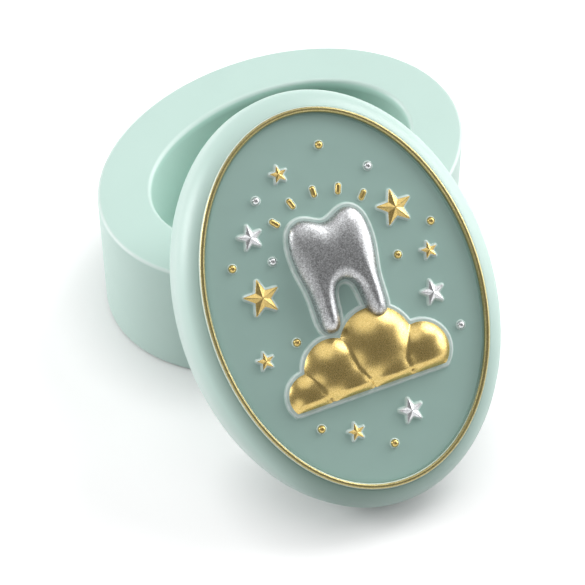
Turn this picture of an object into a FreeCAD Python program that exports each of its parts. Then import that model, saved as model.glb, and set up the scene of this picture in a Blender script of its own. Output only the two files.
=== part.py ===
import FreeCAD, Part
import math
import os
import Sketcher
from FreeCAD import Placement, Rotation, Vector

# Oval keepsake box for milk teeth: a thick-walled base and its lid, which is taken off
# and leans on the base with its lower edge on the table. Lengths are millimetres, turns degrees.
# X runs along the base's long axis, Z is up, and the origin is the middle of the base's foot.

# Lengths, each a real measure of the box
lengths = {
    # base casting
    "base_long": 70.0,
    "base_wide": 53.0,
    "base_high": 25.0,
    "wall": 9.5,
    "floor_thick": 5.0,
    "rim_round": 1.5,
    "edge_round": 0.6,
    "foot_round": 1.0,
    "well_round": 3.0,
    # lid casting
    "lid_overhang": 0.4,
    "lid_high": 9.2,
    "lid_shoulder": 5.2,
    "lid_crown": 0.4,
    "lid_edge": 0.8,
    "plug_deep": 3.0,
    "plug_gap": 0.4,
    "plug_round": 0.8,
    # gold line and panel
    "bead_margin": 0.1,
    "bead_width": 1.0,
    "bead_high": 0.6,
    "bead_round": 0.4,
    "panel_sunk": 0.4,
    "panel_thick": 0.8,
    "panel_gap": 0.1,
    # steps under the reliefs
    "pad_high": 0.5,
    "pad_border": 0.6,
    "star_border": 0.3,
    # reliefs
    "cloud_seam": 0.15,
    "tooth_thick": 2.4,
    "large_star": 3.3,
    "silver_star": 2.2,
    "small_star": 1.5,
    "dot_radius": 0.7,
    "dash_long": 2.0,
    "dash_radius": 0.5,
    # how the lid leans
    "lean_shift": -3.0,
    "lean_gap": 0.1,
}

# Plain shares. Those of the picture are of half the panel's width across and half its length along.
shares = {
    "cloud_floor": -0.50,
    "cloud_plump": 0.42,
    "tooth_across": 0.01,
    "tooth_foot": -0.135,
    "tooth_broad": 0.60,
    "tooth_tall": 0.58,
    "tooth_middle": 0.60,
    "ring_across": 0.52,
    "ring_along": 0.375,
    "star_valley": 0.43,
    "star_slope": 0.30,
}

# Turns in degrees
turns = {
    "lean_tilt": 42.0,
    "lean_turn": -15.5,
    "lean_roll": 93.5,
    "dash_step": 21.0,
}

# Sizes that follow from others: the long and wide axes of the ovals, levels on the lid counted
# from the plane where it sits on the base, and measures of its picture
formulas = {
    "well_long": "base_long - 2 * wall",
    "well_wide": "base_wide - 2 * wall",
    "plug_long": "well_long - 2 * plug_gap",
    "plug_wide": "well_wide - 2 * plug_gap",
    "lid_long": "base_long + 2 * lid_overhang",
    "lid_wide": "base_wide + 2 * lid_overhang",
    "rim_band": "lid_shoulder - sqrt(lid_shoulder ^ 2 - (lid_shoulder - lid_crown) ^ 2)",
    "bead_outer_long": "lid_long - 2 * (rim_band + bead_margin)",
    "bead_outer_wide": "lid_wide - 2 * (rim_band + bead_margin)",
    "bead_inner_long": "bead_outer_long - 2 * bead_width",
    "bead_inner_wide": "bead_outer_wide - 2 * bead_width",
    "recess_long": "bead_inner_long - 2 * bead_margin",
    "recess_wide": "bead_inner_wide - 2 * bead_margin",
    "panel_long": "recess_long - 2 * panel_gap",
    "panel_wide": "recess_wide - 2 * panel_gap",
    "recess_floor": "lid_high - panel_sunk - panel_thick",
    "panel_top": "lid_high - panel_sunk",
    "pad_top": "panel_top + pad_high",
    "bead_top": "lid_high + bead_high",
    "half_across": "panel_wide / 2",
    "half_along": "panel_long / 2",
    "floor_line": "cloud_floor * half_along",
    "foot_line": "tooth_foot * half_along",
    "tooth_line": "tooth_across * half_across",
    "tooth_wide": "tooth_broad * half_across",
    "tooth_high": "tooth_tall * half_along",
}

# Lobes of the cloud: across the picture, along it, and the lobe's radius as a share of half the width
cloud_lobes = [
    (-0.48, -0.43, 0.165),
    (-0.25, -0.34, 0.232),
    (0.11, -0.29, 0.286),
    (0.43, -0.39, 0.205),
    (-0.16, -0.43, 0.180),
    (0.16, -0.43, 0.188),
]

# Places of the small ornaments: across the picture and along it
large_gold_spots = [(0.56, 0.375), (-0.60, 0.14)]
small_gold_spots = [(-0.20, 0.73), (0.71, 0.10), (-0.72, -0.18), (-0.24, -0.69)]
silver_spots = [(-0.545, 0.46), (0.64, -0.12), (0.205, -0.68)]
gold_dot_spots = [
    (0.16, 0.815),
    (-0.74, 0.335),
    (0.795, 0.245),
    (-0.455, -0.14),
    (0.475, 0.13),
    (-0.48, -0.615),
    (0.01, -0.815),
]
silver_dot_spots = [(-0.42, 0.635), (0.465, 0.63), (0.77, -0.335), (-0.44, 0.305)]
dash_count = 5
puff_steps = 6
edge_match = 0.01

# Right half of the tooth, from the dip between its cusps to the fork of its roots: the points that
# steer a smooth closed curve, first for its foot outline and then for the crest that it swells up to,
# each across and along as shares of half its width and of its height.
tooth_half = [
    (0.00, 0.90, 0.00, 0.74),
    (0.50, 1.07, 0.28, 0.80),
    (1.04, 0.98, 0.56, 0.78),
    (1.06, 0.60, 0.62, 0.60),
    (0.86, 0.36, 0.68, 0.38),
    (0.94, 0.00, 0.69, 0.08),
    (0.62, -0.05, 0.61, 0.05),
    (0.32, 0.00, 0.53, 0.08),
    (0.32, 0.36, 0.50, 0.40),
    (0.00, 0.42, 0.00, 0.56),
]

doc = FreeCAD.newDocument("tooth_box")
sheet = doc.addObject("Spreadsheet::Sheet", "sizes")


def sheet_cells():
    # Every size in turn as its name and what its cell holds, a formula where it follows from others
    for table in (lengths, shares, turns):
        yield from table.items()
    for name, formula in formulas.items():
        yield name, "=" + formula
    for number, (across, along, reach) in enumerate(cloud_lobes, 1):
        yield "lobe_%d_across" % number, "=%s * half_across" % across
        yield "lobe_%d_along" % number, "=%s * half_along" % along
        yield "lobe_%d_reach" % number, "=%s * half_across" % reach


for row, (name, content) in enumerate(sheet_cells(), 1):
    sheet.set("A%d" % row, name)
    sheet.set("B%d" % row, str(content))
    sheet.setAlias("B%d" % row, name)
doc.recompute()


def size(alias):
    return float(sheet.get(alias))


def origin_plane(body, role):
    for feature in body.Origin.OriginFeatures:
        if feature.Role == role:
            return feature


def oval_sketch(body, name, level, ovals):
    # Ovals of the sheet about the body's own Z axis, drawn at a level above its XY plane
    sketch = body.newObject("Sketcher::SketchObject", name)
    sketch.AttachmentSupport = [(origin_plane(body, "XY_Plane"), "")]
    sketch.MapMode = "FlatFace"
    sketch.setExpression("AttachmentOffset.Base.z", level)
    for oval in ovals:
        long_axis = oval + "_long"
        wide_axis = oval + "_wide"
        ellipse = Part.Ellipse(Vector(0, 0, 0), size(long_axis) / 2, size(wide_axis) / 2)
        curve = sketch.addGeometry(ellipse)
        sketch.exposeInternalGeometry(curve)
        sketch.addConstraint(Sketcher.Constraint("Coincident", curve, 3, -1, 1))
        sketch.addConstraint(Sketcher.Constraint("Horizontal", curve + 1))
        for line, axis in ((curve + 1, long_axis), (curve + 2, wide_axis)):
            rule = sketch.addConstraint(Sketcher.Constraint("Distance", line, size(axis)))
            sketch.setExpression("Constraints[%d]" % rule, "sizes." + axis)
    return sketch


def pad(body, name, sketch, length, downward=False):
    feature = body.newObject("PartDesign::Pad", name)
    feature.Profile = sketch
    feature.setExpression("Length", length)
    feature.Reversed = downward
    doc.recompute()
    return feature


def pocket(body, name, sketch, depth):
    before = body.Shape.Volume
    feature = body.newObject("PartDesign::Pocket", name)
    feature.Profile = sketch
    feature.setExpression("Length", depth)
    doc.recompute()
    if body.Shape.Volume >= before:
        raise RuntimeError(name + " cuts nothing")
    return feature


def round_edges(body, name, radius, level, ovals):
    # Rounds the edges at a level that run along the given ovals
    level = float(body.evalExpression(level))
    names = []
    for number, edge in enumerate(body.Tip.Shape.Edges, 1):
        box = edge.BoundBox
        flat = abs(box.ZMin - level) < edge_match and abs(box.ZMax - level) < edge_match
        for oval in ovals:
            if flat and abs(box.XLength - size(oval + "_long")) < edge_match:
                names.append("Edge%d" % number)
    base = body.Tip
    feature = body.newObject("PartDesign::Fillet", name)
    feature.Base = (base, names)
    feature.setExpression("Radius", radius)
    doc.recompute()
    return feature


def make_base_bowl():
    body = doc.addObject("PartDesign::Body", "base_bowl")
    top = "sizes.base_high"
    pad(body, "bowl_block", oval_sketch(body, "bowl_outline", "0", ["base"]), top)
    well = oval_sketch(body, "well_outline", top, ["well"])
    pocket(body, "bowl_well", well, top + " - sizes.floor_thick")
    round_edges(body, "well_floor_round", "sizes.well_round", "sizes.floor_thick", ["well"])
    round_edges(body, "rim_inner_round", "sizes.rim_round", top, ["well"])
    round_edges(body, "rim_outer_round", "sizes.edge_round", top, ["base"])
    round_edges(body, "foot_edge_round", "sizes.foot_round", "0", ["base"])
    return body


def make_lid_shell():
    body = doc.addObject("PartDesign::Body", "lid_shell")
    # The shoulder's arc would end a crown's height above the lid's top, where a flat cut stops it short
    top = "sizes.lid_high"
    crown = top + " + sizes.lid_crown"
    pad(body, "lid_block", oval_sketch(body, "lid_outline", "0", ["lid"]), crown)
    round_edges(body, "lid_shoulder_round", "sizes.lid_shoulder", crown, ["lid"])
    pocket(body, "lid_top_cut", oval_sketch(body, "crown_outline", crown, ["lid"]), "sizes.lid_crown")
    round_edges(body, "lid_seat_round", "sizes.lid_edge", "0", ["lid"])
    pad(body, "lid_plug", oval_sketch(body, "plug_outline", "0", ["plug"]), "sizes.plug_deep", True)
    round_edges(body, "plug_edge_round", "sizes.plug_round", "-sizes.plug_deep", ["plug"])
    recess = oval_sketch(body, "recess_outline", top, ["recess"])
    pocket(body, "panel_recess", recess, top + " - sizes.recess_floor")
    return body


def make_lid_panel():
    body = doc.addObject("PartDesign::Body", "lid_panel")
    outline = oval_sketch(body, "panel_outline", "sizes.recess_floor", ["panel"])
    pad(body, "panel_plate", outline, "sizes.panel_thick")
    return body


def make_gold_border():
    body = doc.addObject("PartDesign::Body", "gold_border")
    ring = oval_sketch(body, "border_outline", "sizes.lid_high", ["bead_outer", "bead_inner"])
    pad(body, "border_ring", ring, "sizes.bead_high")
    round_edges(body, "border_round", "sizes.bead_round", "sizes.bead_top", ["bead_outer", "bead_inner"])
    return body


def place(item, across, along, level):
    # The lid's picture stands upright along its long axis: along is X, across runs to -Y
    item.setExpression("Placement.Base.x", along)
    item.setExpression("Placement.Base.y", "-(%s)" % across)
    item.setExpression("Placement.Base.z", level)


def slab(name, floor, level, height):
    # Block above a level of the lid and on the upper side of the cloud's floor line
    box = doc.addObject("Part::Box", name)
    box.setExpression("Length", "sizes.lid_long")
    box.setExpression("Width", "sizes.lid_wide")
    box.setExpression("Height", height)
    place(box, "sizes.lid_wide / 2", floor, level)
    return box


def lobe_domes(name, extra):
    # Sphere caps that stand on the step, each with the lobe's outline and a height in proportion
    domes = []
    for number in range(1, len(cloud_lobes) + 1):
        lobe = "sizes.lobe_%d_" % number
        reach = lobe + "reach"
        height = "(sizes.cloud_plump * %s)" % reach
        radius = "((%s ^ 2 + %s ^ 2) / (2 * %s))" % (reach, height, height)
        dome = doc.addObject("Part::Sphere", "%s_%d" % (name, number))
        dome.setExpression("Radius", radius + extra)
        place(dome, lobe + "across", lobe + "along", "sizes.pad_top + %s - %s" % (height, radius))
        domes.append(dome)
    group = doc.addObject("Part::MultiFuse", name)
    group.Shapes = domes
    return group


def make_cloud():
    cloud = doc.addObject("Part::Common", "cloud")
    cloud.Base = lobe_domes("cloud_domes", "")
    cloud.Tool = slab("cloud_slab", "sizes.floor_line", "sizes.pad_top", "sizes.lid_high")
    return cloud


def tooth_curve(swell, level):
    # Closed smooth curve between the tooth's foot outline, at swell 0, and its crest, at swell 1
    half = size("tooth_wide") / 2
    points = []
    for side, rows in ((1, tooth_half), (-1, tooth_half[-2:0:-1])):
        for foot_x, foot_y, crest_x, crest_y in rows:
            across = size("tooth_line") + side * half * (foot_x + swell * (crest_x - foot_x))
            along = size("foot_line") + size("tooth_high") * (foot_y + swell * (crest_y - foot_y))
            points.append(Vector(along, -across, level))
    curve = Part.BSplineCurve()
    curve.buildFromPoles(points, True, 3)
    return curve


def tooth_border(border, level):
    # The foot outline moved outward
    curve = tooth_curve(0, level)
    first = curve.FirstParameter
    last = curve.LastParameter
    steps = 4 * curve.NbPoles
    moved = []
    for step in range(steps):
        spot = first + (last - first) * step / steps
        heading = curve.tangent(spot)[0]
        moved.append(curve.value(spot) + Vector(-heading.y, heading.x, 0) * border)
    outer = Part.BSplineCurve()
    outer.interpolate(moved, PeriodicFlag=True)
    return Part.Wire(outer.toShape())


def make_tooth():
    # Puffed up: sections drawn in from the foot outline to the crest along a quarter ellipse
    sections = []
    for step in range(puff_steps + 1):
        rise = math.radians(90 * step / puff_steps)
        level = size("pad_top") + size("tooth_thick") * math.sin(rise)
        sections.append(Part.Wire(tooth_curve(1 - math.cos(rise), level).toShape()))
    whole = doc.addObject("Part::Feature", "whole_tooth")
    whole.Shape = Part.makeLoft(sections, True)
    tooth = doc.addObject("Part::Cut", "tooth")
    tooth.Base = whole
    tooth.Tool = lobe_domes("cloud_seat", " + sizes.cloud_seam")
    return tooth


def make_motif_pad():
    under_tooth = doc.addObject("Part::Feature", "tooth_step")
    outline = Part.Face(tooth_border(size("pad_border"), size("panel_top")))
    under_tooth.Shape = outline.extrude(Vector(0, 0, size("pad_high")))
    steps = [under_tooth]
    for number in range(1, len(cloud_lobes) + 1):
        lobe = "sizes.lobe_%d_" % number
        step = doc.addObject("Part::Cylinder", "cloud_step_%d" % number)
        step.setExpression("Radius", lobe + "reach + sizes.pad_border")
        step.setExpression("Height", "sizes.pad_high")
        place(step, lobe + "across", lobe + "along", "sizes.panel_top")
        steps.append(step)
    joined = doc.addObject("Part::MultiFuse", "motif_steps")
    joined.Shapes = steps
    motif = doc.addObject("Part::Common", "motif_pad")
    motif.Base = joined
    floor = "sizes.floor_line - sizes.pad_border"
    motif.Tool = slab("motif_slab", floor, "sizes.panel_top", "sizes.pad_high")
    return motif


def spot_point(spot, level):
    across, along = spot
    return Vector(along * size("half_along"), -across * size("half_across"), size(level))


def star_points(radius, middle):
    # Tips and valleys in turn, the first tip pointing up the lid
    points = []
    for corner in range(10):
        reach = radius if corner % 2 == 0 else radius * size("star_valley")
        turn = math.radians(36 * corner)
        points.append(middle + Vector(math.cos(turn), math.sin(turn), 0) * reach)
    return points


def star_solid(radius, middle):
    # Ten facets from the star's outline up to one peak
    points = star_points(radius, middle)
    peak = middle + Vector(0, 0, size("star_slope") * radius)
    faces = [Part.Face(Part.makePolygon(points + points[:1]))]
    for point, following in zip(points, points[1:] + points[:1]):
        faces.append(Part.Face(Part.makePolygon([point, following, peak, point])))
    return Part.makeSolid(Part.makeShell(faces))


def group_of(name, solids):
    feature = doc.addObject("Part::Feature", name)
    feature.Shape = Part.makeCompound(solids)
    return feature


def make_stars(name, alias, spots):
    return group_of(name, [star_solid(size(alias), spot_point(spot, "pad_top")) for spot in spots])


def make_star_pads():
    pads = []
    kinds = (
        ("large_star", large_gold_spots),
        ("small_star", small_gold_spots),
        ("silver_star", silver_spots),
    )
    for alias, spots in kinds:
        for spot in spots:
            points = star_points(size(alias), spot_point(spot, "panel_top"))
            face = Part.Face(Part.makePolygon(points + points[:1])).makeOffset2D(size("star_border"))
            pads.append(face.extrude(Vector(0, 0, size("pad_high"))))
    return group_of("star_pads", pads)


def make_dots(name, spots):
    dots = []
    for number, (across, along) in enumerate(spots, 1):
        dot = doc.addObject("Part::Sphere", "%s_%d" % (name, number))
        dot.setExpression("Radius", "sizes.dot_radius")
        dot.Angle1 = 0
        middle = ("%s * sizes.half_across" % across, "%s * sizes.half_along" % along)
        place(dot, middle[0], middle[1], "sizes.panel_top")
        dots.append(dot)
    group = doc.addObject("Part::Compound", name)
    group.Links = dots
    return group


def half_capsule():
    # Round-ended bar along X, the upper half of it
    radius = size("dash_radius")
    half = size("dash_long") / 2 - radius
    bend = radius * math.sqrt(0.5)
    edges = [
        Part.Arc(Vector(-half - radius, 0, 0), Vector(-half - bend, bend, 0), Vector(-half, radius, 0)),
        Part.LineSegment(Vector(-half, radius, 0), Vector(half, radius, 0)),
        Part.Arc(Vector(half, radius, 0), Vector(half + bend, bend, 0), Vector(half + radius, 0, 0)),
        Part.LineSegment(Vector(half + radius, 0, 0), Vector(-half - radius, 0, 0)),
    ]
    profile = Part.Face(Part.Wire([edge.toShape() for edge in edges]))
    return profile.revolve(Vector(0, 0, 0), Vector(1, 0, 0), 180)


def make_dashes():
    # Bars that fan out over the tooth's crown, pointing away from its middle
    middle_along = size("foot_line") + size("tooth_middle") * size("tooth_high")
    middle = Vector(middle_along, -size("tooth_line"), size("panel_top"))
    bar = half_capsule()
    dashes = []
    for number in range(dash_count):
        turn = size("dash_step") * (number - (dash_count - 1) / 2)
        along = size("ring_along") * size("half_along") * math.cos(math.radians(turn))
        across = size("ring_across") * size("half_across") * math.sin(math.radians(turn))
        dash = bar.copy()
        dash.Placement = Placement(middle + Vector(along, across, 0), Rotation(Vector(0, 0, 1), turn))
        dashes.append(dash)
    return group_of("gold_dashes", dashes)


def rounded_reach(oval, radius, level, direction):
    # How far an oval block with a rounded edge reaches in a direction; level is the arc centre's height
    oval_reach = math.hypot(size(oval + "_long") / 2 * direction.x, size(oval + "_wide") / 2 * direction.y)
    flat = math.hypot(direction.x, direction.y)
    return oval_reach - radius * flat + level * direction.z + radius


def leaning_lid():
    # The lid's lower edge stands on the table and the plug's face rests on the base's outer rim
    up = Vector(0, 0, 1)
    turn = Rotation(up, size("lean_turn")) * Rotation(Vector(1, 0, 0), size("lean_tilt"))
    turn = turn * Rotation(up, size("lean_roll"))
    normal = turn.multVec(up)
    down = turn.inverted().multVec(-up)
    height = rounded_reach("lid", size("lid_edge"), size("lid_edge"), down)
    base = rounded_reach("base", size("edge_round"), size("base_high") - size("edge_round"), normal)
    clear = base + size("plug_deep") + size("lean_gap")
    flat = math.hypot(normal.x, normal.y)
    forward = Vector(normal.x / flat, normal.y / flat, 0)
    sideways = Vector(-forward.y, forward.x, 0)
    ahead = (clear - normal.z * height) / flat
    return Placement(forward * ahead + sideways * size("lean_shift") + up * height, turn)


base_parts = [make_base_bowl()]
lid_parts = [
    make_lid_shell(),
    make_lid_panel(),
    make_gold_border(),
    make_motif_pad(),
    make_cloud(),
    make_tooth(),
    make_star_pads(),
    make_stars("large_gold_stars", "large_star", large_gold_spots),
    make_stars("small_gold_stars", "small_star", small_gold_spots),
    make_stars("silver_stars", "silver_star", silver_spots),
    make_dots("gold_dots", gold_dot_spots),
    make_dots("silver_dots", silver_dot_spots),
    make_dashes(),
]
lid_place = leaning_lid()
for part in base_parts:
    part.Placement = Placement()
for part in lid_parts:
    part.Placement = lid_place
for part in base_parts + lid_parts:
    part.Label = part.Name
doc.recompute()

for item in doc.Objects:
    if "Invalid" in item.State or "Error" in item.State:
        raise RuntimeError("%s failed: %s" % (item.Name, item.State))
for part in base_parts + lid_parts:
    if part.Shape.isNull() or not part.Shape.isValid():
        raise RuntimeError(part.Label + " has no valid shape")

os.makedirs("parts", exist_ok=True)
for part in base_parts + lid_parts:
    part.Shape.exportStep("parts/%s.step" % part.Label)
    box = part.Shape.BoundBox
    print("%-17s %2d solids %9.2f mm3  z %6.2f to %6.2f" % (
        part.Label, len(part.Shape.Solids), part.Shape.Volume, box.ZMin, box.ZMax))
print("lid stands at", lid_place)
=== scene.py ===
import bpy
import numpy as np
from mathutils import Matrix, Vector


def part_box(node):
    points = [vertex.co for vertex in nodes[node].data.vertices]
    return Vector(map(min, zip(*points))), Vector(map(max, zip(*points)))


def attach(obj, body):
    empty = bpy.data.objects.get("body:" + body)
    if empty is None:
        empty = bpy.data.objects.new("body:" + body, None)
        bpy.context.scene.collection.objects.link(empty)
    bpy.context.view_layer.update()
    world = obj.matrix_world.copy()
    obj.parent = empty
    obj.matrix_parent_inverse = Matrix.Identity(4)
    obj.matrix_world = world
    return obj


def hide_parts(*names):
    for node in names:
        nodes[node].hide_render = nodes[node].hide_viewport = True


# Oval keepsake box: the base and its leaning lid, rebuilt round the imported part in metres.

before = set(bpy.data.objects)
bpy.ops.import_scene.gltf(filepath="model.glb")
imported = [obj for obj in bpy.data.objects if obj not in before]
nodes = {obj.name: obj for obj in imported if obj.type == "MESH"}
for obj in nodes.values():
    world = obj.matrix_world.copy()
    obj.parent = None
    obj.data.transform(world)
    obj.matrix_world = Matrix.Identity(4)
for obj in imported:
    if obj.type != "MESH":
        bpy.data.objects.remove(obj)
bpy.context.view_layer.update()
mm = 0.001
print("frame loaded:", len(nodes), "nodes")


# Shading

def newMaterial(name):
    material = bpy.data.materials.new(name)
    material.use_nodes = True
    tree = material.node_tree
    return material, tree, tree.nodes["Principled BSDF"]


def addNode(tree, kind, values=None, **links):
    node = tree.nodes.new(kind)
    for key, value in (values or {}).items():
        if key in node.inputs:
            node.inputs[key].default_value = value
        else:
            setattr(node, key, value)
    for key, socket in links.items():
        tree.links.new(socket, node.inputs[key])
    return node


def mathOn(tree, operation, *terms):  # each term is a socket or a number
    node = addNode(tree, "ShaderNodeMath", {"operation": operation})
    for socket, term in zip(node.inputs, terms):
        if isinstance(term, (int, float)):
            socket.default_value = term
        else:
            tree.links.new(term, socket)
    return node.outputs[0]


def noiseOn(tree, place, size, detail, roughness=0.5):  # size is that of one patch, in metres
    values = {"Scale": 1 / size, "Detail": detail, "Roughness": roughness}
    return addNode(tree, "ShaderNodeTexNoise", values, Vector=place).outputs["Fac"]


def rampOn(tree, factor, stops):  # stops are (position, linear colour)
    ramp = addNode(tree, "ShaderNodeValToRGB", Fac=factor).color_ramp
    while len(ramp.elements) < len(stops):
        ramp.elements.new(0.5)
    for element, (position, colour) in zip(ramp.elements, stops):
        element.position = position
        element.color = (*colour, 1)
    return tree.nodes[-1].outputs["Color"]


def rangeOn(tree, factor, start, end, low, high):
    values = {"From Min": start, "From Max": end, "To Min": low, "To Max": high}
    return addNode(tree, "ShaderNodeMapRange", values, Value=factor).outputs["Result"]


def bumpOn(tree, height, strength, distance):
    values = {"Strength": strength, "Distance": distance}
    return addNode(tree, "ShaderNodeBump", values, Height=height).outputs["Normal"]


def markOn(tree, name):  # a value that the mesh carries; nought where it has none
    return addNode(tree, "ShaderNodeAttribute", {"attribute_name": name}).outputs["Fac"]


grainSpan = (0.3, 0.7)  # the part of a noise's range that counts
castDetail = {"pitRim": (0.04, 0.10), "pitShade": 0.02, "pitDepth": 0.5}
leafDetail = {"tear": 0.3 * mm, "tearShare": 0.3, "tearSpan": (0.55, 0.75), "bareRough": 0.15}


def castPaint(name, look):  # satin paint on resin: deep and edge colours reached by the mesh's tone mark, painted shade and painted highlights on the bowl and lid shell, cloudy drift, pin pits, fine grain
    material, tree, shader = newMaterial(name)
    place = addNode(tree, "ShaderNodeTexCoord").outputs["Object"]
    cloudy = noiseOn(tree, place, look["patch"], 4)
    grain = noiseOn(tree, place, look["grain"], 3, 0.7)
    cells = addNode(tree, "ShaderNodeTexVoronoi", {"Scale": 1 / look["pit"]}, Vector=place)
    pits = rangeOn(tree, cells.outputs["Distance"], *castDetail["pitRim"], 1, 0)
    drift = mathOn(tree, "MULTIPLY_ADD", cloudy, look["drift"], 0.5 - look["drift"] / 2)
    level = mathOn(tree, "MULTIPLY_ADD", markOn(tree, "tone"), 0.5, drift)
    level = mathOn(tree, "MULTIPLY_ADD", pits, -castDetail["pitShade"], level)
    tone = rampOn(tree, level, [(0.0, look["deep"]), (0.5, look["colour"]), (1.0, look["edge"])])
    tree.links.new(tone, shader.inputs["Base Color"])
    tree.links.new(rangeOn(tree, grain, *grainSpan, *look["roughness"]), shader.inputs["Roughness"])
    height = mathOn(tree, "MULTIPLY_ADD", pits, -castDetail["pitDepth"], grain)
    tree.links.new(bumpOn(tree, height, look["bump"], look["grain"]), shader.inputs["Normal"])
    shader.inputs["Specular IOR Level"].default_value = look["gloss"]
    return material


def metalPaint(name, look):  # satin metal leaf: tinted flakes, grain between them, bare paint where it ends
    material, tree, shader = newMaterial(name)
    place = addNode(tree, "ShaderNodeTexCoord").outputs["Object"]
    flakes = addNode(tree, "ShaderNodeTexVoronoi", {"Scale": 1 / look["flake"]}, Vector=place)
    tint = addNode(tree, "ShaderNodeSeparateColor", Color=flakes.outputs["Color"]).outputs["Red"]
    grain = noiseOn(tree, place, look["grain"], 4, 0.7)
    torn = noiseOn(tree, place, leafDetail["tear"], 2)
    metal = rampOn(tree, tint, [(0.0, look["dark"]), (0.5, look["colour"]), (1.0, look["light"])])
    frayed = mathOn(tree, "MULTIPLY_ADD", torn, leafDetail["tearShare"], markOn(tree, "bare"))
    bare = rangeOn(tree, frayed, *leafDetail["tearSpan"], 0, 1)
    tone = addNode(tree, "ShaderNodeMix", {"data_type": "RGBA"}, Factor=bare)
    tree.links.new(metal, tone.inputs[6])
    tone.inputs[7].default_value = (*look["under"], 1)
    tree.links.new(tone.outputs[2], shader.inputs["Base Color"])
    tree.links.new(mathOn(tree, "SUBTRACT", 1.0, bare), shader.inputs["Metallic"])
    rough = rangeOn(tree, grain, *grainSpan, *look["roughness"])
    rough = mathOn(tree, "MULTIPLY_ADD", bare, leafDetail["bareRough"], rough)
    tree.links.new(rough, shader.inputs["Roughness"])
    height = mathOn(tree, "MULTIPLY_ADD", tint, look["flakeLift"], grain)
    tree.links.new(bumpOn(tree, height, look["bump"], look["grain"]), shader.inputs["Normal"])
    return material


# deep is the colour of painted shade and edge that of painted highlights, where the bowl and lid shell carry
# a tone
mintLook = {"colour": (0.62, 0.82, 0.75), "deep": (0.195, 0.325, 0.265), "edge": (0.80, 0.92, 0.88),
            "drift": 0.06, "patch": 9 * mm, "grain": 0.25 * mm, "pit": 1.3 * mm,
            "roughness": (0.34, 0.46), "bump": 0.06, "gloss": 0.7}
sageLook = {"colour": (0.43, 0.625, 0.565), "deep": (0.26, 0.40, 0.35), "edge": (0.56, 0.74, 0.68),
            "drift": 0.10, "patch": 6 * mm, "grain": 0.2 * mm, "pit": 0.9 * mm,
            "roughness": (0.40, 0.52), "bump": 0.06, "gloss": 0.45}
paleLook = {"colour": (0.54, 0.72, 0.66), "deep": (0.36, 0.52, 0.47), "edge": (0.84, 0.94, 0.91),
            "drift": 0.7, "patch": 1.2 * mm, "grain": 0.2 * mm, "pit": 0.8 * mm,
            "roughness": (0.36, 0.48), "bump": 0.06, "gloss": 0.6}
goldLook = {"colour": (0.69, 0.51, 0.185), "dark": (0.57, 0.41, 0.13), "light": (0.81, 0.62, 0.26),
            "under": (0.74, 0.86, 0.80), "flake": 0.10 * mm, "flakeLift": 0.25, "grain": 0.10 * mm,
            "roughness": (0.23, 0.35), "bump": 0.08}
lineLook = {"colour": (0.48, 0.41, 0.185), "dark": (0.39, 0.33, 0.13), "light": (0.58, 0.50, 0.26),
            "under": (0.76, 0.84, 0.74), "flake": 0.12 * mm, "flakeLift": 0.25, "grain": 0.12 * mm,
            "roughness": (0.32, 0.44), "bump": 0.08}
silverLook = {"colour": (0.52, 0.53, 0.54), "dark": (0.34, 0.34, 0.35), "light": (0.76, 0.77, 0.78),
              "under": (0.72, 0.84, 0.80), "flake": 0.16 * mm, "flakeLift": 0.6, "grain": 0.16 * mm,
              "roughness": (0.30, 0.42), "bump": 0.20}
sparkLook = {"colour": (0.72, 0.73, 0.74), "dark": (0.60, 0.61, 0.62), "light": (0.84, 0.85, 0.86),
             "under": (0.74, 0.86, 0.82), "flake": 0.09 * mm, "flakeLift": 0.15, "grain": 0.09 * mm,
             "roughness": (0.24, 0.34), "bump": 0.05}
mintPaint = castPaint("mintPaint", mintLook)
sagePaint = castPaint("sagePaint", sageLook)
palePaint = castPaint("palePaint", paleLook)
goldPaint = metalPaint("goldPaint", goldLook)
linePaint = metalPaint("linePaint", lineLook)
silverPaint = metalPaint("silverPaint", silverLook)
sparkPaint = metalPaint("sparkPaint", sparkLook)
print("materials ready")


# Geometry

def addMesh(name, points, corners, sides):  # corners in one row, sides says how many each face takes
    mesh = bpy.data.meshes.new(name)
    mesh.vertices.add(len(points))
    mesh.vertices.foreach_set("co", np.ascontiguousarray(points, np.float32).ravel())
    mesh.loops.add(len(corners))
    mesh.loops.foreach_set("vertex_index", corners.astype(np.int32))
    mesh.polygons.add(len(sides))
    mesh.polygons.foreach_set("loop_start", np.concatenate([[0], np.cumsum(sides)[:-1]]).astype(np.int32))
    mesh.polygons.foreach_set("use_smooth", np.ones(len(sides), bool))
    mesh.update(calc_edges=True)
    mesh.validate()
    piece = bpy.data.objects.new(name, mesh)
    bpy.context.scene.collection.objects.link(piece)
    return piece


def ringPiece(name, rings, marks, loop=False):  # rings[s, k, i]: solid s, ring k upward, place i round it
    solids, count, around = rings.shape[:3]
    index = np.arange(solids * count * around).reshape(solids, count, around)
    after = np.roll(index, -1, axis=2)
    quads = np.stack([index, after, np.roll(after, -1, axis=1), np.roll(index, -1, axis=1)], -1)
    if loop:  # the last ring joins the first
        corners = quads.ravel()
        sides = np.full(quads.size // 4, 4)
    else:  # the first and the last ring are filled
        quads = quads[:, :-1]
        caps = np.concatenate([index[:, 0, ::-1], index[:, -1]])
        corners = np.concatenate([quads.ravel(), caps.ravel()])
        sides = np.repeat([4, around], [quads.size // 4, 2 * solids])
    piece = addMesh(name, rings.reshape(-1, 3), corners, sides)
    for mark, values in marks.items():
        layer = piece.data.attributes.new(mark, "FLOAT", "POINT")
        layer.data.foreach_set("value", np.broadcast_to(values, index.shape).astype(np.float32).ravel())
    return piece


def finishPiece(piece, body, slot, material, *replaced):
    piece.data.materials.append(material)
    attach(piece, body)
    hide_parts(*replaced)


def row(inset, level, share, tone):  # points of a profile, each value one number or a whole stretch of them
    return np.stack(np.broadcast_arrays(inset, level, share, tone), 1)


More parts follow.
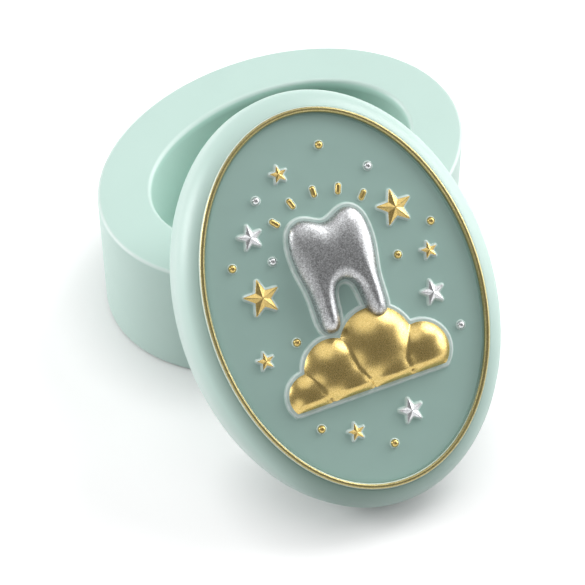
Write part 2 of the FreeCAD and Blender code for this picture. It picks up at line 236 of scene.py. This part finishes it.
def bend(inset, level, radius, start, end, steps=10, tone=0):  # arc: angle 0 points inward, 90 up
    angle = np.radians(np.linspace(start, end, steps))
    return row(inset + radius * np.cos(angle), level + radius * np.sin(angle), 1, tone)


def run(inset, level, steps=2, tone=(0, 0)):  # straight stretch between two (inset, level) pairs
    return row(np.linspace(*inset, steps), np.linspace(*level, steps), 1, np.linspace(*tone, steps))


discHeart = 0.02  # the smallest ring of a disc, as a share of its size


def disc(inset, level, outward, steps=12, tone=0):  # flat oval from its middle outward, or back to it
    share = np.linspace(discHeart, 1, steps)
    return row(inset, level, share if outward else share[::-1], tone)


def ovalRings(rows, halfLong, halfWide, around=480):  # x = s (a - d) cos t, y = s (b - d) sin t, z = h
    inset, level, share = rows.T[:3, :, None]
    t = np.linspace(0, 2 * np.pi, around, endpoint=False)[None, :]
    x = share * (halfLong - inset) * np.cos(t)
    y = share * (halfWide - inset) * np.sin(t)
    return np.stack([x, y, np.broadcast_to(level, x.shape)], -1)[None], t


# Base: a profile of rounds and straight stretches, as inset d and level h, carried round an oval

baseShape = {"wall": 9.5 * mm, "floor": 5 * mm, "rimRound": 0.8 * mm, "edgeRound": 0.6 * mm,
             "footRound": 1 * mm, "wellRound": 3 * mm}
# Painted highlights on the outer top edge and the inner lip; painted shade down the well, deepest on its far
# wall
baseTones = {"edge": 0.9, "lipHighlight": 0.5, "well": -0.14, "far": -0.6, "wellShadeTurn": 50.0, "wellShadeWide": 75.0}


def makeBase():
    halfLong, halfWide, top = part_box("base_bowl")[1]
    wall, floor, rim, edge, foot, well = baseShape.values()
    paintedHighlight, lipHighlight, deep = baseTones["edge"], baseTones["lipHighlight"], baseTones["well"]
    rows = np.concatenate([
        disc(foot, 0, True),
        bend(foot, foot, foot, 270, 180),
        run((0, 0), (foot, top - edge), 14)[1:-1],
        # painted highlight along the outer top edge
        bend(edge, top - edge, edge, 180, 90, 7, paintedHighlight * np.sin(np.linspace(0, np.pi, 7))),
        run((edge, wall - rim), (top, top), 10)[1:-1],
        # painted highlight along the inner lip
        bend(wall - rim, top - rim, rim, 90, 0, 12, lipHighlight * np.sin(np.linspace(0, np.pi, 12))),
        # painted shade down the well's wall and over its floor
        run((wall, wall), (top - rim, floor + well), 14, (deep, deep))[1:-1],
        bend(wall + well, floor + well, well, 180, 270, 12, deep),
        disc(wall + well, floor, False, 12, deep)[1:],
    ])
    rings, t = ovalRings(rows, halfLong, halfWide)
    aside = np.degrees((t - np.radians(baseTones["wellShadeTurn"]) + np.pi) % (2 * np.pi) - np.pi)
    far = np.cos(np.pi / 2 * np.clip(aside / baseTones["wellShadeWide"], -1, 1))  # 1 in the middle of the far wall, where the painted shade is deepest
    # the far wall's painted shade grows from the well's floor up to the rim
    lift = np.clip((rows[:, 1, None] - floor - well) / (top - rim - floor - well), 0, 1)
    tone = rows[:, 3, None] + np.where(rows[:, 3, None] < 0, baseTones["far"] * far * lift, 0)
    piece = ringPiece("baseBowl", rings, {"tone": tone})
    finishPiece(piece, "base", "mint_resin", mintPaint, "base_bowl")


makeBase()
print("base made")


# Lid: its own axes are x up the picture, y to the picture's left and z out of it, from the seat plane

lidPose = {"tilt": 42.0, "turn": -15.5, "roll": 93.5, "plugDeep": 3 * mm}


def turned(name, axis):
    return Matrix.Rotation(np.radians(lidPose[name]), 3, axis)


lidTurn = np.array(turned("turn", "Z") @ turned("tilt", "X") @ turned("roll", "Z"))


def nodePoints(name):
    mesh = nodes[name].data
    flat = np.empty(3 * len(mesh.vertices), np.float32)
    mesh.vertices.foreach_get("co", flat)
    return flat.reshape(-1, 3).astype(float)


shellPoints = nodePoints("lid_shell") @ lidTurn
lidOrigin = (shellPoints.min(0) + shellPoints.max(0)) / 2
lidOrigin[2] = shellPoints[:, 2].min() + lidPose["plugDeep"]


def lidPoints(name):
    return nodePoints(name) @ lidTurn - lidOrigin


def onLid(points):
    return (points + lidOrigin) @ lidTurn.T


lidReach = lidPoints("lid_shell").max(0)
panelReach = lidPoints("lid_panel").max(0)
panelFloor = lidPoints("lid_panel").min(0)[2]
beadReach = lidPoints("gold_border").max(0)

lidShape = {"shoulder": 5.2 * mm, "crown": 0.4 * mm, "edge": 0.8 * mm, "plugRound": 0.8 * mm,
            "plugGap": 0.4 * mm, "corner": 0.1 * mm, "lap": 0.02 * mm, "skin": 0.01 * mm}
# Painted shade up the shoulder towards the gold line and on the recess wall inside it, painted highlights on
# the shoulder's outer part and along the seat edge; those on the shoulder gather at the lower left
lidTones = {"rimShade": -0.82, "sideTurn": 40.0, "rimShadePower": 2.5, "sidePower": 1.5, "paintedHighlight": 0.6,
            "highlightPower": 1.5, "lowTurn": 25.0, "lowNarrow": 12, "lowDrop": 1.6, "seat": 0.4, "wall": -0.9}


def lowerLeft(t):  # 1 at the lid's lower left, 0 at its upper right: where the painted shade and painted highlights gather
    return 0.5 - 0.5 * np.cos(t + np.radians(lidTones["sideTurn"]))


def makeLid():  # a profile carried round an oval, from the plug's middle over the shoulder into the recess
    halfLong, halfWide, top = lidReach
    plug = lidPose["plugDeep"]
    shoulder, crown, edge, plugRound, gap, corner, lap, skin = lidShape.values()
    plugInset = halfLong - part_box("base_bowl")[1][0] + baseShape["wall"] + gap
    recess = halfLong - panelReach[0] + lap  # the wall meets the panel, so no dark gap shows
    turnLevel = top + crown - shoulder  # where the wall turns into the shoulder
    end = np.degrees(np.arcsin((top - turnLevel) / shoulder))
    land = shoulder * (1 - np.cos(np.radians(end)))
    line = halfLong - beadReach[0]  # the gold line's outer edge
    # painted shade on the recess wall inside the gold line, all round
    wall = lidTones["wall"]
    rows = np.concatenate([
        disc(plugInset + plugRound, -plug, True),
        bend(plugInset + plugRound, plugRound - plug, plugRound, 270, 180),
        run((plugInset, plugInset), (plugRound - plug, 0), 6)[1:],
        run((plugInset, edge), (0, 0), 8)[1:-1],
        # painted highlight along the seat edge
        bend(edge, edge, edge, 270, 180, 10, lidTones["seat"] * np.sin(np.linspace(0, np.pi, 10))),
        run((0, 0), (edge, turnLevel), 8)[1:-1],
        bend(shoulder, turnLevel, shoulder, 180, 180 - end, 32),
        run((land, line), (top, top), 4)[1:],
        run((line, recess - corner), (top, top), 4, (wall, wall))[1:-1],
        bend(recess - corner, top - corner, corner, 90, 0, 5, wall),
        run((recess, recess), (top - corner, panelFloor), 4, (wall, wall))[1:],
        disc(recess, panelFloor, False)[1:],
    ])
    rings, t = ovalRings(rows, halfLong - skin, halfWide - skin)
    climb = np.clip((rows[:, 1, None] - turnLevel) / shoulder, 0, 1)
    climb = np.arcsin(climb) / np.radians(end)  # 0 at the shoulder's start, 1 on the flat top
    low = np.clip(-np.cos(t + np.radians(lidTones["lowTurn"])), 0, 1)
    low = low ** lidTones["lowNarrow"]  # 1 where the lid stands on the table: there the painted highlight stops and the painted shade reaches further down the shoulder
    # painted shade deepens up the shoulder to the gold line; a painted highlight lightens the shoulder's
    # outer part
    deep = lidTones["rimShade"] * climb ** (lidTones["rimShadePower"] - lidTones["lowDrop"] * low)
    paintedHighlight = lidTones["paintedHighlight"] * (1 - low) * (1 - climb) ** lidTones["highlightPower"]
    shade = (deep + paintedHighlight) * lowerLeft(t) ** lidTones["sidePower"]
    tone = rows[:, 3, None] + np.where(rows[:, 0, None] <= line, shade, 0)  # only outside the gold line
    piece = ringPiece("lidShell", onLid(rings), {"tone": tone})
    finishPiece(piece, "lid", "mint_resin", mintPaint, "lid_shell")


makeLid()
nodes["lid_panel"].data.materials.clear()
nodes["lid_panel"].data.materials.append(sagePaint)
print("lid made")


# Gold line: half an oval on the lid, d = d0 - w cos v, h = h0 + g sin v, with bare paint at its feet

lineShape = {"width": 1.0 * mm, "sunk": 0.15 * mm, "barePower": 2.2, "steps": 24, "around": 720}


def makeLine():
    halfLong, halfWide, top = lidReach
    middle = halfLong - beadReach[0] + lineShape["width"] / 2
    v = np.linspace(0, np.pi, lineShape["steps"])
    inset = middle - lineShape["width"] / 2 * np.cos(v)
    level = top + (beadReach[2] - top) * np.sin(v)
    bare = np.abs(np.cos(v)) ** lineShape["barePower"]
    rows = row(inset, level, 1, bare)
    feet = row(inset[[-1, 0]], top - lineShape["sunk"], 1, 1)
    rows = np.concatenate([rows, feet])
    rings, t = ovalRings(rows, halfLong, halfWide, lineShape["around"])
    inner = rows[:, 0, None] > middle
    bare = rows[:, 3, None] * np.where(inner, lowerLeft(t), 1)  # the inner foot is bare pale paint, a painted highlight, only at the lower left; at the upper right it is gilt
    piece = ringPiece("goldLine", onLid(rings), {"bare": bare}, loop=True)
    finishPiece(piece, "lid", "gold_paint", linePaint, "gold_border")


makeLine()
print("gold line made")


# Reliefs: places are shares of half the panel's width across and half its length along

halfAlong, halfAcross, panelTop = panelReach
padHigh = 0.5 * mm
padTop = panelTop + padHigh
footSunk = 0.1 * mm  # every relief starts this far inside what carries it


def lidSpots(spots, level):  # (across, along) shares to lid points
    across, along = np.array(spots).T
    return np.stack([along * halfAlong, -across * halfAcross, np.full(len(across), level)], 1)


def outward(curves):  # normals of closed flat curves[s, i] that run to the left
    heading = np.roll(curves, -1, axis=1) - np.roll(curves, 1, axis=1)
    normal = np.stack([heading[..., 1], -heading[..., 0]], -1)
    return normal / np.linalg.norm(normal, axis=-1, keepdims=True)


def steppedRings(curves, profile, level):  # each curve moved out by o and up by h for every (o, h)
    offset, height = np.array(profile).T[:, None, :, None, None]
    flat = curves[:, None] + outward(curves)[:, None] * offset
    return np.concatenate([flat, np.broadcast_to(level + height, (*flat.shape[:3], 1))], -1)


padShape = {"flare": 0.22 * mm, "round": 0.2 * mm, "topInset": 0.26 * mm, "cloudProud": 0.01 * mm,
            "heart": 0.05, "steps": 6}
padTones = {"foot": 0.1, "side": 0.8, "edge": 0.85, "top": 0.3}


def padPiece(name, curves, high=0.0, hearts=None):  # quarter rounds carried along a curve, foot and shoulder
    flare, soft, steps = padShape["flare"], padShape["round"], padShape["steps"]
    up = np.linspace(0, np.pi / 2, steps)
    foot = [(flare * (1 - np.sin(a)), flare * (1 - np.cos(a))) for a in up]
    top = padHigh + high
    shoulder = [(-soft * (1 - np.cos(a)), top - soft * (1 - np.sin(a))) for a in up]
    profile = [(flare, -footSunk)] + foot + shoulder + [(-padShape["topInset"], top)]
    sides = np.linspace(padTones["foot"], padTones["side"], steps)
    tone = np.concatenate([sides[:1], sides, np.full(steps, padTones["edge"]), [padTones["top"]]])
    rings = steppedRings(curves, profile, panelTop)
    if hearts is not None:  # the top is ringed in to each heart, as one large face would bridge the notches
        middles = hearts[:, None, None]
        rings = np.concatenate([rings, middles + padShape["heart"] * (rings[:, -1:] - middles)], 1)
        tone = np.append(tone, tone[-1])
    return ringPiece(name, onLid(rings), {"tone": tone[:, None]})


# Stars: r = Rt Rv sin 36 / (Rv sin(36 - d) + Rt sin d), d the turn from the nearest tip, softened a little

starSpots = {
    "large_gold_stars": {"piece": "largeGoldStars", "slot": "gold_paint", "paint": goldPaint,
                         "radius": 3.3 * mm, "spots": [(0.56, 0.375), (-0.60, 0.14)]},
    "small_gold_stars": {"piece": "smallGoldStars", "slot": "gold_paint", "paint": goldPaint,
                         "radius": 1.5 * mm,
                         "spots": [(-0.20, 0.73), (0.71, 0.10), (-0.72, -0.18), (-0.24, -0.69)]},
    "silver_stars": {"piece": "silverStars", "slot": "silver_paint", "paint": sparkPaint,
                     "radius": 2.2 * mm, "spots": [(-0.545, 0.46), (0.64, -0.12), (0.205, -0.68)]},
}
starShape = {"valley": 0.43, "slope": 0.19, "around": 360, "soften": 2, "padSoften": 8, "border": 0.4 * mm,
             "rings": 14, "tip": 0.012}


def starOutline(radius, soften):
    turn = np.arange(starShape["around"]) * 360 / starShape["around"]
    away = np.radians(36 - np.abs(turn % 72 - 36))
    fifth = np.radians(36)
    tip, valley = radius, radius * starShape["valley"]
    reach = tip * valley * np.sin(fifth) / (valley * np.sin(fifth - away) + tip * np.sin(away))
    shifts = np.arange(-soften, soften + 1)
    reach = np.mean([np.roll(reach, shift) for shift in shifts], axis=0)
    return reach[:, None] * np.stack([np.cos(np.radians(turn)), np.sin(np.radians(turn))], 1)


def makeStars():
    s = starShape
    for name, star in starSpots.items():
        radius = star["radius"]
        outline = starOutline(radius, s["soften"])
        spots = lidSpots(star["spots"], padTop)
        share = np.append(1.0, np.linspace(1, s["tip"], s["rings"]))[:, None, None]
        level = s["slope"] * radius * (1 - share)
        level[0] = -footSunk
        flat = share * outline
        rings = np.concatenate([flat, np.broadcast_to(level, (*flat.shape[:2], 1))], -1)
        rings = spots[:, None, None] + rings[None]
        piece = ringPiece(star["piece"], onLid(rings), {"bare": 0.0})
        finishPiece(piece, "lid", star["slot"], star["paint"], name)


def makeStarPads():
    curves = []
    hearts = []
    for star in starSpots.values():
        outline = starOutline(star["radius"] + starShape["border"], starShape["padSoften"])
        hearts.append(lidSpots(star["spots"], padTop))
        curves.append(hearts[-1][:, None, :2] + outline)
    piece = padPiece("starPads", np.concatenate(curves), hearts=np.concatenate(hearts))
    finishPiece(piece, "lid", "pale_mint_paint", palePaint, "star_pads")


makeStars()
makeStarPads()
print("stars made")


# Dots and dashes: r = c cos v, h = c sin v round a middle or a short line, on a flared foot of bare paint

dotSpots = {
    "gold_dots": {"piece": "goldDots", "slot": "gold_paint", "paint": goldPaint,
                  "spots": [(0.16, 0.815), (-0.74, 0.335), (0.795, 0.245), (-0.455, -0.14), (0.475, 0.13),
                            (-0.48, -0.615), (0.01, -0.815)]},
    "silver_dots": {"piece": "silverDots", "slot": "silver_paint", "paint": sparkPaint,
                    "spots": [(-0.42, 0.635), (0.465, 0.63), (0.77, -0.335), (-0.44, 0.305)]},
}
dotShape = {"radius": 0.7 * mm, "flare": 0.16 * mm, "waist": 0.4, "rise": 0.06 * mm, "low": 16, "high": 89,
            "rows": 20, "bareTo": 15.0, "bareFade": 3, "around": 48}
dashShape = {"count": 5, "step": 21.0, "half": 0.5 * mm, "radius": 0.5 * mm, "acrossRing": 0.52,
             "alongRing": 0.375}
toothPlace = {"across": 0.01, "foot": -0.135, "broad": 0.60, "tall": 0.58, "middle": 0.60}


def bumpRows(radius):  # reach, height and bareness from the foot up
    s = dotShape
    v = np.radians(np.linspace(s["low"], s["high"], s["rows"]))
    wide = radius + s["flare"]
    foot = [(wide, -footSunk, 1), (wide, 0, 1), (radius + s["waist"] * s["flare"], s["rise"], 1)]
    bare = np.clip((np.radians(s["bareTo"]) - v) * s["bareFade"] + 0.5, 0, 1)
    return np.concatenate([foot, np.stack([radius * np.cos(v), radius * np.sin(v), bare], 1)])


def bumpPiece(name, middles, turns, half, radius):
    reach, height, bare = bumpRows(radius).T[:, None, :, None]
    t = np.linspace(0, 2 * np.pi, dotShape["around"], endpoint=False)[None, None, :]
    x = half * np.sign(np.cos(t + 1e-4)) + reach * np.cos(t)
    y = reach * np.sin(t)
    c, s = np.cos(turns)[:, None, None], np.sin(turns)[:, None, None]
    z = np.broadcast_to(height, x.shape)
    rings = np.stack([x * c - y * s, x * s + y * c, np.broadcast_to(z, (len(turns), *x.shape[1:]))], -1)
    return ringPiece(name, onLid(middles[:, None, None] + rings), {"bare": bare})


def makeDots():
    for name, dots in dotSpots.items():
        middles = lidSpots(dots["spots"], panelTop)
        piece = bumpPiece(dots["piece"], middles, np.zeros(len(middles)), 0.0, dotShape["radius"])
        finishPiece(piece, "lid", dots["slot"], dots["paint"], name)


def makeDashes():
    s, p = dashShape, toothPlace
    turns = np.radians(s["step"]) * (np.arange(s["count"]) - (s["count"] - 1) / 2)
    high = p["tall"] * halfAlong
    along = p["foot"] * halfAlong + p["middle"] * high + s["alongRing"] * halfAlong * np.cos(turns)
    across = -p["across"] * halfAcross + s["acrossRing"] * halfAcross * np.sin(turns)
    middles = np.stack([along, across, np.full(s["count"], panelTop)], 1)
    piece = bumpPiece("goldDashes", middles, turns, s["half"], s["radius"])
    finishPiece(piece, "lid", "gold_paint", goldPaint, "gold_dashes")


makeDots()
makeDashes()
print("dots and dashes made")


# Cloud: domes on the lobes' circles, joined by h = (sum h^p)^(1/p) and rounded off along a straight floor

cloudLobes = [(-0.48, -0.43, 0.165), (-0.25, -0.34, 0.232), (0.11, -0.29, 0.286), (0.43, -0.39, 0.205),
              (-0.16, -0.43, 0.180), (0.16, -0.43, 0.188)]
cloudShape = {"floor": -0.50, "plump": 0.42, "heart": (0.0, -0.44), "power": 7, "soft": 1.6 * mm,
              "border": 0.6 * mm, "around": 480, "rings": 56, "pole": 0.004}


def lobeCircles():
    spots = lidSpots([lobe[:2] for lobe in cloudLobes], 0)[:, :2]
    return spots, np.array([lobe[2] for lobe in cloudLobes]) * halfAcross


def cloudOutline(extra):  # how far the joined lobes reach from the heart, one way after another
    spots, reach = lobeCircles()
    heart = lidSpots([cloudShape["heart"]], 0)[0, :2]
    t = np.linspace(0, 2 * np.pi, cloudShape["around"], endpoint=False)
    way = np.stack([np.cos(t), np.sin(t)], 1)
    near = way @ (spots - heart).T
    inside = near ** 2 - ((spots - heart) ** 2).sum(1) + (reach + extra) ** 2
    far = np.where(inside > 0, near + np.sqrt(np.maximum(inside, 0)), 0).max(1)
    floor = cloudShape["floor"] * halfAlong - extra - heart[0]
    limit = np.where(way[:, 0] < -1e-6, floor / np.minimum(way[:, 0], -1e-6), np.inf)
    return heart, way * np.minimum(far, limit)[:, None]


def cloudHeight(points):  # each dome is sqrt(R^2 - d^2) less what lifts its rim to nought
    spots, reach = lobeCircles()
    plump = cloudShape["plump"] * reach
    ball = (reach ** 2 + plump ** 2) / (2 * plump)
    gap = ((points[..., None, :] - spots) ** 2).sum(-1)
    domes = np.sqrt(np.maximum(ball ** 2 - gap, 0)) - ball + plump
    joined = (np.maximum(domes, 0) ** cloudShape["power"]).sum(-1) ** (1 / cloudShape["power"])
    away = np.clip((points[..., 0] - cloudShape["floor"] * halfAlong) / cloudShape["soft"], 0, 1)
    return joined * np.sqrt(1 - (1 - away) ** 2)


def makeCloud():
    heart, outline = cloudOutline(0)
    share = np.sin(np.linspace(np.pi / 2, cloudShape["pole"], cloudShape["rings"]))[:, None, None]
    flat = heart + share * outline
    rings = np.concatenate([flat, padTop + cloudHeight(flat)[..., None]], -1)
    sunk = rings[:1] - np.array([0, 0, footSunk])
    piece = ringPiece("goldCloud", onLid(np.concatenate([sunk, rings])[None]), {"bare": 0.0})
    finishPiece(piece, "lid", "gold_paint", goldPaint, "cloud")


# Tooth: a closed smooth curve that rises from foot over crest to spine, (1-t)^2 F + 2t(1-t) C + t^2 S

toothHalf = np.array([  # foot, crest and spine of its right half: shares of half its width, of its height
    (0.00, 0.90, 0.00, 0.76, 0.00, 0.66),
    (0.50, 1.07, 0.30, 0.84, 0.24, 0.70),
    (1.04, 0.98, 0.62, 0.82, 0.46, 0.70),
    (1.06, 0.60, 0.70, 0.60, 0.56, 0.58),
    (0.86, 0.36, 0.72, 0.38, 0.61, 0.38),
    (0.94, 0.00, 0.73, 0.08, 0.62, 0.14),
    (0.62, -0.05, 0.61, 0.03, 0.61, 0.11),
    (0.32, 0.00, 0.50, 0.08, 0.60, 0.14),
    (0.32, 0.36, 0.46, 0.40, 0.58, 0.40),
    (0.00, 0.42, 0.00, 0.54, 0.00, 0.63),
])
toothShape = {"thick": 2.4 * mm, "rings": 24, "perPole": 20, "border": 0.6 * mm, "ridge": 0.97}


def splineLoop(poles, steps):  # uniform cubic spline round closed rows of poles[..., i, 2]
    u = np.linspace(0, 1, steps, endpoint=False)[:, None]
    weights = [(1 - u) ** 3, 3 * u ** 3 - 6 * u ** 2 + 4, 1 + 3 * u + 3 * u ** 2 - 3 * u ** 3, u ** 3]
    parts = [weight * np.roll(poles, 1 - k, axis=-2)[..., None, :] for k, weight in enumerate(weights)]
    return sum(parts).reshape(*poles.shape[:-2], -1, 2) / 6


def toothCurves(share):  # share[k] of the way from foot to spine
    p = toothPlace
    t = share[:, None, None]
    foot, crest, spine = toothHalf[:, 0:2], toothHalf[:, 2:4], toothHalf[:, 4:6]
    half = (1 - t) ** 2 * foot + 2 * t * (1 - t) * crest + t ** 2 * spine
    whole = np.concatenate([half, half[:, -2:0:-1] * np.array([-1, 1])], axis=1)[:, ::-1]
    across = p["across"] * halfAcross + whole[..., 0] * p["broad"] * halfAcross / 2
    along = p["foot"] * halfAlong + whole[..., 1] * p["tall"] * halfAlong
    return splineLoop(np.stack([along, -across], -1), toothShape["perPole"])


def makeTooth():
    share = toothShape["ridge"] * (1 - np.cos(np.linspace(0, np.pi / 2, toothShape["rings"])))
    level = padTop + toothShape["thick"] * np.sqrt(1 - (1 - share) ** 2)
    flat = toothCurves(share)
    rings = np.concatenate([flat, np.broadcast_to(level[:, None, None], (*flat.shape[:2], 1))], -1)
    sunk = rings[:1] - np.array([0, 0, footSunk])
    piece = ringPiece("silverTooth", onLid(np.concatenate([sunk, rings])[None]), {"bare": 0.0})
    finishPiece(piece, "lid", "silver_paint", silverPaint, "tooth")


def makeMotifPads():
    heart, outline = cloudOutline(cloudShape["border"])
    under = padPiece("cloudPad", (heart + outline)[None], padShape["cloudProud"])
    finishPiece(under, "lid", "pale_mint_paint", palePaint, "motif_pad")
    curve = toothCurves(np.zeros(1))
    piece = padPiece("toothPad", curve + outward(curve) * toothShape["border"])
    finishPiece(piece, "lid", "pale_mint_paint", palePaint, "motif_pad")


makeCloud()
makeTooth()
makeMotifPads()
print("reliefs made")


# Stage

floorLook = {"colour": (0.92, 0.92, 0.92), "deep": (0.88, 0.88, 0.88), "edge": (0.95, 0.95, 0.95),
             "drift": 0.1, "patch": 60 * mm, "grain": 2 * mm, "pit": 9 * mm,
             "roughness": (0.75, 0.85), "bump": 0.0, "gloss": 0.2}
stageSize = {"half": 4.0, "lift": 0.34, "near": 0.16, "far": 0.5, "bounce": 0.3, "crevice": 0.012,
             "fade": 2, "rays": 16}


def makeFloor():  # a flat square
    half = stageSize["half"]
    points = np.array([(-half, -half, 0), (half, -half, 0), (half, half, 0), (-half, half, 0)])
    floor = addMesh("studioFloor", points, np.arange(4), np.array([4]))
    material = castPaint("floorPaint", floorLook)  # lifted to white for the eye, darker for bounced light
    tree = material.node_tree
    shader = tree.nodes["Principled BSDF"]
    rays = addNode(tree, "ShaderNodeLightPath").outputs
    seen = mathOn(tree, "MAXIMUM", rays["Is Camera Ray"], rays["Is Glossy Ray"])
    seen = mathOn(tree, "MAXIMUM", seen, rays["Is Transmission Ray"])
    plain = shader.inputs["Base Color"].links[0].from_socket
    tone = addNode(tree, "ShaderNodeMix", {"data_type": "RGBA"}, Factor=seen)
    tone.inputs[6].default_value = (*(stageSize["bounce"],) * 3, 1)
    tree.links.new(plain, tone.inputs[7])
    tree.links.new(tone.outputs[2], shader.inputs["Base Color"])
    shader.inputs["Emission Color"].default_value = (1, 1, 1, 1)
    place = addNode(tree, "ShaderNodeTexCoord").outputs["Object"]
    away = addNode(tree, "ShaderNodeVectorMath", {"operation": "LENGTH"}, Vector=place).outputs["Value"]
    lift = rangeOn(tree, away, stageSize["near"], stageSize["far"], stageSize["lift"], 1)
    crevice = {"samples": stageSize["rays"], "Distance": stageSize["crevice"]}
    clear = addNode(tree, "ShaderNodeAmbientOcclusion", crevice).outputs["AO"]
    clear = mathOn(tree, "POWER", clear, stageSize["fade"])
    lift = mathOn(tree, "MULTIPLY", lift, clear)  # no lift in crevices, so contact shadows stay
    tree.links.new(mathOn(tree, "MULTIPLY", seen, lift), shader.inputs["Emission Strength"])
    floor.data.materials.append(material)


makeFloor()

lamps = {
    "overhead": {"towards": (0.0, 0.2, 1.0), "size": 0.8, "energy": 1.7},
    "rightHigh": {"towards": (0.8, 0.1, 0.8), "size": 0.5, "energy": 3.1},
    "right": {"towards": (1.0, -0.1, 0.35), "size": 0.5, "energy": 2.5},
    "rightLow": {"towards": (1.0, -0.5, 0.25), "size": 0.5, "energy": 2.1},
    "leftBack": {"towards": (-0.9, 0.7, 0.4), "size": 0.5, "energy": 4.7},
    "leftFront": {"towards": (-1.0, -0.6, 0.3), "size": 0.5, "energy": 0.7},
}
lampPlace = {"aim": Vector((0, -0.01, 0.02)), "distance": 0.9}


def makeLamps():
    for name, lamp in lamps.items():
        data = bpy.data.lights.new(name, "AREA")
        data.shape = "DISK"
        data.size = lamp["size"]
        data.energy = lamp["energy"]
        way = Vector(lamp["towards"]).normalized()
        light = bpy.data.objects.new(name, data)
        light.location = lampPlace["aim"] + way * lampPlace["distance"]
        light.rotation_euler = way.to_track_quat("Z", "Y").to_euler()
        bpy.context.scene.collection.objects.link(light)


makeLamps()

worldLook = {"colour": (0.5, 0.5, 0.5, 1), "strength": 0.5}
world = bpy.data.worlds.new("studio")
world.use_nodes = True
world.node_tree.nodes["Background"].inputs["Color"].default_value = worldLook["colour"]
world.node_tree.nodes["Background"].inputs["Strength"].default_value = worldLook["strength"]
bpy.context.scene.world = world
bpy.context.scene.view_settings.view_transform = "Standard"
print("stage ready")


# Camera: found from the photograph's ellipses

cameraView = {"azimuth": 35.42, "elevation": 48.03, "distance": 384.35 * mm, "right": 1.77 * mm,
              "up": -7.29 * mm, "lens": 126.6, "sensor": 36.0}


def makeCamera():
    v = cameraView
    a, e = np.radians(v["azimuth"]), np.radians(v["elevation"])
    forward = Vector((np.sin(a) * np.cos(e), np.cos(a) * np.cos(e), -np.sin(e)))
    right = Vector((np.cos(a), -np.sin(a), 0))
    up = right.cross(forward)
    data = bpy.data.cameras.new("photoCamera")
    data.lens = v["lens"]
    data.sensor_width = v["sensor"]
    camera = bpy.data.objects.new("photoCamera", data)
    camera.location = right * v["right"] + up * v["up"] - forward * v["distance"]
    camera.rotation_euler = forward.to_track_quat("-Z", "Y").to_euler()
    bpy.context.scene.collection.objects.link(camera)
    bpy.context.scene.camera = camera


makeCamera()
print("camera placed")
